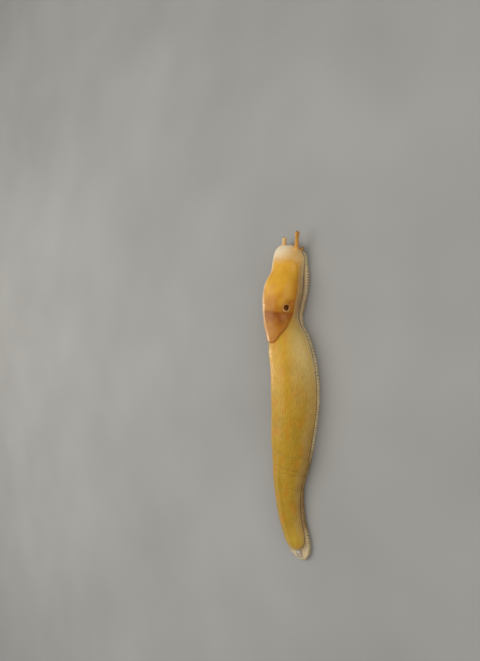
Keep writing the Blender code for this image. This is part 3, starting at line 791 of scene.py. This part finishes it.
def flank_relief(at, drift):
    """Lines that run along the flank above the foot, and low wrinkles where the body bends."""
    station, bare = at["station"], at["bare"]
    wander = 0.2 * waves(np.stack((station, station * 0), -1), 24.0, 4)
    above = at["height"] - FOOT_TOP + wander
    lines = sum(share * bump(above, middle, width) for share, middle, width in FLANK_LINES)
    lines *= bare * step(0.6, 0.3, at["up"]) * step(88, 80, station)
    beat = station + 0.25 * at["height"] + 0.8 * drift
    ripple = np.sin(TURN * beat / BEND_CREASE_PITCH)
    right = at["angle"] > 0
    bends = bump(station, -25.0, 9.0) + 0.6 * bump(station, 46.0, 9.0)
    reach = step(0.8, 0.3, at["up"] + 0.2 * drift)
    creases = np.clip(ripple, 0, 1) ** 5 * bends * right * reach * bare
    return -FLANK_LINE_DEPTH * lines - BEND_CREASE_DEPTH * creases, 0.9 * lines + 0.7 * creases


def fringe_relief(points, normals, at, drift):
    """Pleats of the fringe, and soft folds on the foot's ledge, deepest behind the tail's tip."""
    beat = fringe_beat(points, at["station"])
    side_sign = np.sign(at["angle"])
    beat = beat + 0.5 * waves(np.stack((beat, side_sign * 9), -1), 14.0, 5)
    uneven = 0.65 + 0.35 * np.clip(waves(np.stack((beat, side_sign * 5), -1), 5.0, 15), -1, 1)
    fine = 0.5 - 0.5 * np.sin(TURN * beat / PLEAT_PITCH + 1.3 * drift)
    broad = np.sin(TURN * beat / FRINGE_WAVE_PITCH + 0.7 * drift)
    side = at["foot"] * (1 - at["sole"]) * step(0.93, 0.5, np.abs(normals[:, 2]))
    behind = step(-92, -94.5, points[:, 0])
    ledge = at["foot"] * step(0.6, 0.9, normals[:, 2]) * (0.4 + 0.6 * behind)
    folds = sum(depth * waves(points, size, seed) for depth, size, seed in LEDGE_FOLDS)
    pleats = side * fine**2 * uneven
    return FRINGE_WAVE_DEPTH * side * broad - PLEAT_DEPTH * pleats + ledge * folds, pleats


def mantle_relief(at):
    """The mantle is finely grained, with soft swellings and a hollow behind its middle."""
    station, arc = at["station"], at["arc"]
    grain, tone = cells(station / GRAIN[0], arc / GRAIN[1], 6)
    pits = step(0.4, 0, grain)
    swell = waves(np.stack((station, 1.4 * arc), -1), 8.0, 10)
    dip = bump(station, 48.0, 3.2) * bump(at["angle"], 0.1, 0.9)
    out = GRAIN_UNEVEN * (tone - 0.5) - GRAIN_DEPTH * pits + SWELLING * swell - HOLLOW * dip
    return at["mantle"] * out, 0.25 * pits * at["mantle"]


def stalk_relief(points, at):
    """Rings and grains on the feelers."""
    share = at["stalk_share"]
    rings = np.clip(np.sin(TURN * FEELER_RINGS * share), 0, 1) * step(0.88, 0.74, share)
    grains = waves(points, 0.8, 18, 24)
    out = FEELER_GRAIN * grains - FEELER_RING_DEPTH * rings
    return at["stalk"] * out, 0.4 * at["stalk"] * rings


def relief(points, normals, at):
    """How far the skin stands out in millimetres, and the depth of its furrows and its pleats."""
    drift = waves(np.stack((at["station"], at["arc"]), -1), 9.0, 2)
    back, back_depth = back_relief(at, drift)
    fringe, pleats = fringe_relief(points, normals, at, drift)
    others = (
        back_creases(at, drift),
        flank_relief(at, drift),
        mantle_relief(at),
        stalk_relief(points, at),
    )
    slow = SLOW_WAVE * waves(points, SLOW_WAVE_SIZE, 1) * (1 - at["foot"]) * (1 - at["stalk"])
    out = back + fringe + slow + sum(other[0] for other in others)
    return out, back_depth + sum(other[1] for other in others), pleats


def cleft_mask(points):
    """The groove from the breathing hole to the mantle's edge."""
    shares = np.linspace(0, 1, 40)
    x = CLEFT_START[0] + (CLEFT_END[0] - CLEFT_START[0]) * shares
    angle = CLEFT_START[1] + (CLEFT_END[1] - CLEFT_START[1]) * shares**1.3
    line = skin_point(x, angle, mantle_thickness(angle / MANTLE_SPREAD))
    distance, share = distance_to(points, line)
    return bump(distance, 0.0, CLEFT_WIDTH) * step(1.0, 0.8, share)


def pore_relief(points):
    """Lumps that make the lip of the breathing hole uneven."""
    place, _ = pore_surface()
    near_lip = bump(np.linalg.norm(points - place, axis=1), 1.9, 0.8)
    return LIP_LUMPS * waves(points, LIP_LUMP_SIZE, 30, 10) * near_lip


def pore_masks(points):
    """The breathing hole, darkened inside as painted shade, its pale lip with a painted highlight
    on the lit side, and the cleft that runs from it, darkened as painted shade.
    """
    place, normal = pore_surface()
    away = points - place
    above = away @ normal
    to_axis = np.linalg.norm(away - above[:, None] * normal, axis=1)
    near = step(4.0, 3.0, np.abs(above))
    lit_side = step(-0.9, 0.9, (-away[:, 0] - 0.6 * away[:, 1]) / np.maximum(to_axis, 0.1))
    return {
        # painted shade: the inside of the hole coloured dark red-brown
        "pore": step(1.8, 1.3, to_axis) * near * step(0.35, -0.25, above),
        "pore_shade": bump(to_axis, 1.2, 1.6) * near,
        # the lip is pale all round, with a painted highlight on its lit side
        "pore_lip": bump(to_axis, 2.0, 0.35) * near * (0.15 + 0.85 * lit_side),
        # painted shade along the cleft
        "cleft": cleft_mask(points),
    }


def mantle_masks(at, drift, patch):
    """The mantle's own colours: gold in front, a dark patch behind its middle, browner margins; and
    painted shade over its rear.
    """
    station, angle, ring = at["station"], at["angle"], at["ring"]
    soft_front = step(58, 72, station)
    over_edge = step(1.2, 0.8, ring + 0.03 * drift) * (1 - at["stalk"])
    mantle = at["mantle"] * (1 - soft_front) + over_edge * soft_front
    front = DARK_ZONE_FRONT + 0.5 * drift
    sharp = step(front + 1.1, front - 0.9, station)
    rear = DARK_ZONE_REAR - 4.0 * step(-0.2, 0.8, angle) + 1.2 * patch
    fading = step(rear - 1.0, rear + 4.5, station)
    across = bump(angle, 0.3, 0.6) + 0.35 * bump(angle, 1.1, 0.4)
    margin = bump(ring, 0.96, 0.2) * step(0.1, 0.5, angle)
    return {
        "mantle": mantle,
        "gold": mantle * step(-0.4, 1.0, 0.4 * patch + step(56, 74, station)),
        "dark_zone": sharp * fading * across * at["mantle"] * step(1.02, 0.9, ring),
        "margin": margin * at["mantle"] * step(80, 62, station),
        # painted shade over the mantle's rear, leaving its left rim light
        "mantle_rear_shade": mantle * step(64, 49, station) * step(-0.8, -0.25, angle),
    }


def foot_masks(points, at, drift):
    """The pale foot, the painted shade under the neck and in the groove above the fringe, and the
    sole's bands.
    """
    station, height = at["station"], at["height"] + 0.2 * drift
    tail_end = step(-91.5, -95.5, points[:, 0])
    pale_flank = step(5.0, 4.4, height) * step(0, 16, station) * (1 - at["mantle"])
    foot = np.maximum(at["foot"], 0.7 * pale_flank)
    neck_shade = (at["foot"] + at["bare"]) * bump(station, 57.0, 14.0) * step(6.5, 5.0, height)
    from_flesh = np.abs(at["aside"]) - along(HALF_WIDTH, station)
    # painted shade in the groove between the flesh and the fringe
    groove = bump(at["height"], 3.45, 0.34) * step(1.4, 0.5, from_flesh)
    across = np.abs(at["aside"]) / along(FOOT_HALF, station)
    wave = 0.5 + 0.5 * np.sin(TURN * (station + 2 * across**2) / SOLE_WAVE_PITCH)
    return {
        "foot": np.maximum(foot, tail_end) * (1 - at["stalk"]),
        "neck_shade": neck_shade * (1 - 0.35 * bump(height, 3.25, 0.35)),
        "groove": groove * (1 - at["mantle"]) * step(-96, -92, station),
        "sole_band": at["sole"] * step(0.7, 0.45, across),
        "sole_wave": at["sole"] * wave,
    }


def colour_masks(points, at, depth):
    """Values from 0 to 1 that the material mixes its colours by."""
    station, arc = at["station"], at["arc"]
    drift = waves(np.stack((station, arc), -1), 16.0, 8)
    patch = waves(np.stack((station / 1.5, arc), -1), 7.5, 9)
    beside = np.sin(2 * (at["angle"] - 0.2)) * 0.5 + 0.5
    from_middle = points[:, 1] - along(SWAY, 87.0)
    return {
        **{name: product(factors, at) for name, factors in COLOUR_MASKS.items()},
        "stripe": at["stalk"] * step(0.35, 0.9, at["stalk_share"]) * beside,
        "pale_stalk": at["stalk"] * step(0.0, 2.0, from_middle),
        "flank": step(0.62, 0.16, at["up"] + 0.04 * drift) * at["bare"],
        # painted shade: darker where the relief's furrows, creases and pits are deep
        "furrow": np.clip(depth, 0, 1),
        "orange": step(0.0, 1.0, 0.8 * patch + 0.3 * drift),
        "olive": step(0.0, 1.0, -0.7 * patch + 0.5 * drift),
        **foot_masks(points, at, drift),
        **mantle_masks(at, drift, patch),
        **pore_masks(points),
    }


def soft_joins(points):
    """How much to blend: the feelers' roots and the mantle's front edge flow into the head."""
    at = body_places(points)
    from_mouth = np.linalg.norm(points - head_place(MOUTH_PLACE, 1), axis=1)
    roots = bump(points[:, 0], 88.5, 2.4) * step(5.0, 5.6, points[:, 2])
    front = bump(at["ring"], 1.0, 0.14) * step(60, 74, at["station"])
    place, _ = pore_surface()
    lip = bump(np.linalg.norm(points - place, axis=1), 1.6, 0.8)
    return np.maximum.reduce((0.9 * roots * step(2.8, 4.4, from_mouth), 0.95 * front, 0.5 * lip))


def plain_skin(all_feelers):
    """All the flesh as one closed surface, before its relief, and its points."""
    skin = joined("slug_skin", skin_forms(all_feelers))
    remesh(skin, ROUGH_VOXEL)
    for form in skin_cutters():
        cut(skin, form)
    remesh(skin, FINE_VOXEL)
    edges = read_edges(skin.data)
    points = smoothed(read_points(skin.data), edges, SMOOTH_ROUNDS, 0.5)
    points = smoothed(points, edges, SOFT_ROUNDS, soft_joins(points))
    write_points(skin.data, points)
    return skin, points


def make_skin(all_feelers, shift):
    skin, points = plain_skin(all_feelers)
    at = regions(points, all_feelers)
    normals = read_normals(skin.data)
    out, depth, pleats = relief(points, normals, at)
    out += pore_relief(points) - CLEFT_DEPTH * cleft_mask(points)
    # painted shade: the pleats' troughs darkened by their depth
    masks = {"pleat_shade": pleats, **colour_masks(points, at, depth)}
    for name, values in masks.items():
        set_attribute(skin.data, name, values)
    points = points + normals * (out * (1 - at["sole"]))[:, None]
    points[:, 2] = np.maximum(points[:, 2], 0)
    write_points(skin.data, (points + shift) * MM)
    return skin


def origin_shift():
    """How far the solids were moved to put the origin under the middle of their outline."""
    points, _ = foot_form()
    low = np.array(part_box("foot_rear")[0]) / MM
    side = np.array(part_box("foot_middle")[0]) / MM
    aside = side[1] - points[:, 1].min() + SOLID_PLEAT_DEPTH
    return np.array((low[0] - points[:, 0].min(), aside, 0.0))


# Materials


def linear(red, green, blue):
    """A colour given as it shows on a screen, from 0 to 255, as Blender's linear values."""
    def one(value):
        value /= 255
        return value / 12.92 if value <= 0.04045 else ((value + 0.055) / 1.055) ** 2.4

    return (one(red), one(green), one(blue), 1.0)


class Nodes:
    """Short ways to add and join a material's nodes."""

    def __init__(self, name):
        self.material = bpy.data.materials.new(name)
        self.material.use_nodes = True
        self.tree = self.material.node_tree
        self.shader = self.tree.nodes["Principled BSDF"]

    def add(self, kind, **settings):
        node = self.tree.nodes.new(kind)
        for key, value in settings.items():
            if key in node.inputs.keys():
                node.inputs[key].default_value = value
            else:
                setattr(node, key, value)
        return node

    def link(self, output, socket):
        self.tree.links.new(output, socket)

    def mask(self, name):
        return self.add("ShaderNodeAttribute", attribute_name=name).outputs["Fac"]

    def fill(self, sockets, values):
        for socket, value in zip(sockets, values):
            if isinstance(value, (int, float, tuple)):
                socket.default_value = value
            else:
                self.link(value, socket)

    def maths(self, operation, *values):
        node = self.add("ShaderNodeMath", operation=operation)
        self.fill(node.inputs, values)
        return node.outputs[0]

    def mix(self, factor, first, second):
        node = self.add("ShaderNodeMix", data_type="RGBA")
        self.fill([node.inputs[k] for k in (0, 6, 7)], (factor, first, second))
        return node.outputs[2]

    def noise(self, scale, detail=4.0, roughness=0.55):
        coordinates = self.add("ShaderNodeTexCoord").outputs["Object"]
        node = self.add("ShaderNodeTexNoise", Scale=scale, Detail=detail, Roughness=roughness)
        self.link(coordinates, node.inputs["Vector"])
        return node.outputs["Fac"]

    def ramp(self, value, *limits):
        """A value between the first two limits, spread over 0 to 1 or over the last two."""
        node = self.add("ShaderNodeMapRange")
        sockets = ("Value", "From Min", "From Max", "To Min", "To Max")
        self.fill([node.inputs[name] for name in sockets], (value, *limits))
        return node.outputs["Result"]

    def set_shader(self, settings):
        for socket, value in settings.items():
            self.shader.inputs[socket].default_value = value


# Colours of the skin, laid over one another in this order: mask, how strong, colour
SKIN_LAYERS = (
    ("warm", 0.75, (212, 158, 30)),
    ("tail", 0.8, (162, 126, 30)),
    ("tail_tip", 0.5, (204, 170, 60)),
    ("orange", 0.42, (192, 122, 20)),
    ("olive", 0.26, (152, 120, 26)),
    ("flank", 0.6, (198, 166, 104)),
    ("pale_side", 0.65, (228, 204, 136)),
    ("rear_flank", 0.6, (138, 100, 46)),
    # the neck's grey-pink flank, partly painted shade beside the mantle
    ("neck_flank", 0.6, (170, 134, 104)),
    ("head", 0.85, (218, 178, 118)),
    ("head_pale", 0.75, (242, 228, 200)),
    ("mantle", 1.0, (200, 130, 22)),
    ("gold", 0.65, (234, 180, 50)),
    ("gold_rear", 0.6, (192, 128, 10)),
    # painted shade over the mantle's rear
    ("mantle_rear_shade", 0.55, (150, 86, 2)),
    ("margin", 0.6, (168, 96, 24)),
    ("dark_zone", 0.95, (142, 66, 2)),
    ("edge", 0.6, (160, 88, 20)),
    # painted highlight along the left rim
    ("left_rim_highlight", 0.8, (246, 222, 186)),
    ("stalk", 0.9, (204, 142, 50)),
    ("stripe", 0.5, (140, 84, 34)),
    ("pale_stalk", 0.55, (228, 196, 144)),
    ("foot", 0.92, (204, 186, 150)),
    # painted shade on the fringe along the rear
    ("rear_fringe_shade", 0.85, (134, 100, 46)),
    ("neck_shade", 0.6, (128, 100, 80)),
    ("sole_band", 0.4, (168, 142, 104)),
    ("sole_wave", 0.2, (140, 112, 80)),
    # painted shade in the pleats' troughs
    ("pleat_shade", 0.75, (88, 66, 44)),
    # painted shade in the groove above the fringe
    ("groove", 0.75, (74, 48, 32)),
    # painted shade in furrows and creases
    ("furrow", 0.22, (118, 78, 30)),
    # painted shade along the cleft
    ("cleft", 0.2, (142, 74, 20)),
    ("pore_shade", 0.45, (138, 68, 28)),
    # pale lip with a painted highlight on its lit side
    ("pore_lip", 0.7, (228, 190, 130)),
    # painted shade inside the breathing hole
    ("pore", 1.0, (104, 24, 6)),
)
SKIN_BASE = (180, 140, 32)
# Spots over the layers: scale and detail of their noise, the span of it used, how strong, colour
SKIN_SPOTS = (
    ((260.0, 4.0), (0.35, 0.7), 0.11, (234, 198, 84)),
    ((900.0, 2.0), (0.6, 0.75), 0.12, (120, 78, 26)),
)
SKIN_ROUGHNESS, SKIN_COAT = (0.26, 0.5), 0.3
SKIN_SETTINGS = {
    "Subsurface Weight": 0.22,
    "Subsurface Radius": (1.0, 0.5, 0.2),
    "Subsurface Scale": 0.0025,
    "Specular IOR Level": 0.15,
    "Coat Roughness": 0.14,
    "Coat IOR": 1.35,
}

# Simple looks: scale and detail of a noise, the span of it used, two tones, the shader's settings
LOOKS = {
    "dark_eye": (
        (3000.0, 2.0), (0.4, 0.7), ((14, 10, 8), (44, 28, 20)),
        {"Roughness": 0.12, "Coat Weight": 0.8, "Coat Roughness": 0.05},
    ),
    "clear_mucus": (
        (500.0, 3.0), (0.35, 0.7), ((236, 230, 220), (214, 204, 200)),
        {
            "Roughness": 0.12, "IOR": 1.36, "Transmission Weight": 0.85,
            "Coat Weight": 0.9, "Coat Roughness": 0.04,
        },
    ),
    "pale_floor": (
        (9.0, 2.0), (0.3, 0.7), ((150, 148, 143), (160, 158, 153)), {"Roughness": 0.85},
    ),
}


def skin_colour(nodes):
    colour = linear(*SKIN_BASE)
    for mask, strength, over in SKIN_LAYERS:
        factor = nodes.maths("MULTIPLY", nodes.mask(mask), strength)
        colour = nodes.mix(factor, colour, linear(*over))
    for grain, span, strength, over in SKIN_SPOTS:
        factor = nodes.maths("MULTIPLY", nodes.ramp(nodes.noise(*grain), *span), strength)
        colour = nodes.mix(factor, colour, linear(*over))
    return colour


def skin_material():
    nodes = Nodes("wet_slug_skin")
    shader = nodes.shader.inputs
    nodes.link(skin_colour(nodes), shader["Base Color"])
    nodes.link(nodes.ramp(nodes.noise(170.0, 3.0), 0.0, 1.0, *SKIN_ROUGHNESS), shader["Roughness"])
    outside = nodes.maths("SUBTRACT", 1.0, nodes.mask("pore"))
    nodes.link(nodes.maths("MULTIPLY", outside, SKIN_COAT), shader["Coat Weight"])
    grains = nodes.maths("ADD", nodes.noise(2600.0, 3.0), nodes.noise(800.0, 2.0))
    bumps = nodes.add("ShaderNodeBump", Strength=0.35, Distance=0.00012)
    nodes.link(grains, bumps.inputs["Height"])
    nodes.link(bumps.outputs["Normal"], shader["Normal"])
    nodes.set_shader(SKIN_SETTINGS)
    return nodes.material


def simple_material(name):
    grain, span, (first, second), settings = LOOKS[name]
    nodes = Nodes(name)
    tone = nodes.ramp(nodes.noise(*grain), *span)
    colour = nodes.mix(tone, linear(*first), linear(*second))
    nodes.link(colour, nodes.shader.inputs["Base Color"])
    nodes.set_shader(settings)
    return nodes.material


# Other pieces

# Lobes of the mucus: middle and radii as shares of the plug's radii
MUCUS_LOBES = (
    ((0.1, 0.0, -0.7), (1.3, 1.15, 0.8)),
    ((-0.6, 0.4, -1.1), (1.1, 0.8, 0.55)),
    ((-0.5, -0.5, -1.1), (1.2, 0.8, 0.55)),
)
MUCUS_VOXEL, MUCUS_ROUNDS, MUCUS_SOFTNESS = 0.12, 10, 0.6
MUCUS_LUMPS, MUCUS_LUMP_SIZE = 0.05, 1.6


def make_eyes(all_feelers, shift, material):
    for name, side in SIDES.items():
        _, centre, ahead, _, _ = all_feelers["eye_stalk_" + name]
        outward = unit(ahead + np.array((0.0, EYE_FACING[0] * side, EYE_FACING[1])))
        place = centre + outward * (EYE_BULB_RADIUS - EYE_SINK)
        points, faces = ball_form(np.array(EYE_SHAPE) * EYE_RADIUS, np.identity(3), place)
        eye = mesh_object(f"eye_ball_{name}", (points + shift) * MM, faces)
        dress(eye, material)
        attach(eye, "root")
        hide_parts("eye_" + name)


def make_mucus(material):
    """The plug over the pit at the tail's tip: a clear clot that spreads on to the foot's end."""
    low, high = (np.array(corner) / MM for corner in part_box("mucus_plug"))
    middle, radii = (low + high) / 2, (high - low) / 2
    forms = []
    for place, share in MUCUS_LOBES:
        forms.append(ball_form(radii * share, np.identity(3), middle + radii * place))
    drop = joined("mucus_drop", forms)
    remesh(drop, MUCUS_VOXEL)
    points, edges = read_points(drop.data), read_edges(drop.data)
    points = smoothed(points, edges, MUCUS_ROUNDS, MUCUS_SOFTNESS)
    lumps = MUCUS_LUMPS * waves(points, MUCUS_LUMP_SIZE, 24, 10)
    points = points + read_normals(drop.data) * lumps[:, None]
    write_points(drop.data, points * MM)
    dress(drop, material)
    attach(drop, "root")
    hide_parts("mucus_plug")


# Floor, lights and camera


def make_floor():
    bpy.ops.mesh.primitive_plane_add(size=6.0, location=(0, 0, 0))
    floor = bpy.context.object
    floor.name = "floor"
    floor.data.materials.append(simple_material("pale_floor"))


PHOTO_SIZE = (480, 661)
MM_PER_PIXEL = 0.61
FOCAL_PIXELS = 600.0
CAMERA_RISE = math.radians(45.0)  # above the floor, on the animal's right
AIM = (0.0, -2.9, 8.7)  # the point of the slug that is seen at AIM_PIXEL, in millimetres
AIM_PIXEL, PHOTO_CENTRE = (290.6, 395.0), (269.5, 351.5)
SENSOR_HEIGHT = 24.0


def make_camera():
    """The photo's view: from above its right side, with the head towards the top of the frame."""
    right = np.array((0.0, -math.sin(CAMERA_RISE), -math.cos(CAMERA_RISE)))
    up = np.array(FORWARD)
    back = np.cross(right, up)
    pixels_right = np.array((AIM_PIXEL[0] - PHOTO_CENTRE[0], AIM_PIXEL[0] - PHOTO_SIZE[0] / 2))
    pixels_down = np.array((AIM_PIXEL[1] - PHOTO_CENTRE[1], AIM_PIXEL[1] - PHOTO_SIZE[1] / 2))
    aside, ahead = pixels_right * MM_PER_PIXEL, pixels_down * MM_PER_PIXEL
    distance = MM_PER_PIXEL * FOCAL_PIXELS
    eye = np.array(AIM) - right * aside[0] + up * ahead[0] + back * distance
    target = np.array(AIM) - right * aside[1] + up * ahead[1]
    looking = unit(eye - target)
    level = unit(np.cross(up, looking))
    over = np.cross(looking, level)

    data = bpy.data.cameras.new("camera")
    data.sensor_fit = "VERTICAL"
    data.sensor_height = SENSOR_HEIGHT
    data.lens = SENSOR_HEIGHT * FOCAL_PIXELS / PHOTO_SIZE[1]
    data.clip_start = 0.01
    camera = bpy.data.objects.new("camera", data)
    put(camera, level, over, looking, eye * MM)
    bpy.context.scene.camera = camera


LIGHTS = (
    # name, place in metres, size, watts, colour
    ("rim", (0.10, 1.25, 0.10), 0.26, 2.8, (1.0, 0.93, 0.80)),
    ("sky", (0.05, 0.38, 0.58), 0.66, 2.7, (1.0, 0.985, 0.96)),
    ("side", (0.10, -0.60, 0.40), 0.50, 1.6, (1.0, 0.97, 0.93)),
)
WORLD_COLOUR, WORLD_STRENGTH = (0.96, 0.98, 1.0, 1.0), 0.46


def make_lights():
    for name, place, size, watts, colour in LIGHTS:
        data = bpy.data.lights.new(name, "AREA")
        data.shape, data.size, data.energy, data.color = "DISK", size, watts, colour
        looking = unit(np.array(place))
        aside = unit(np.cross(UPWARD, looking))
        put(bpy.data.objects.new(name, data), aside, np.cross(looking, aside), looking, place)
    world = bpy.data.worlds.new("studio")
    world.use_nodes = True
    background = world.node_tree.nodes["Background"]
    background.inputs["Color"].default_value = WORLD_COLOUR
    background.inputs["Strength"].default_value = WORLD_STRENGTH
    bpy.context.scene.world = world
    bpy.context.scene.view_settings.view_transform = "Standard"


def main():
    make_camera()
    make_floor()
    make_lights()
    all_feelers = feelers()
    shift = origin_shift()
    skin = make_skin(all_feelers, shift)
    dress(skin, skin_material())
    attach(skin, "root")
    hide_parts(*FLESH_NODES)
    make_eyes(all_feelers, shift, simple_material("dark_eye"))
    make_mucus(simple_material("clear_mucus"))


main()
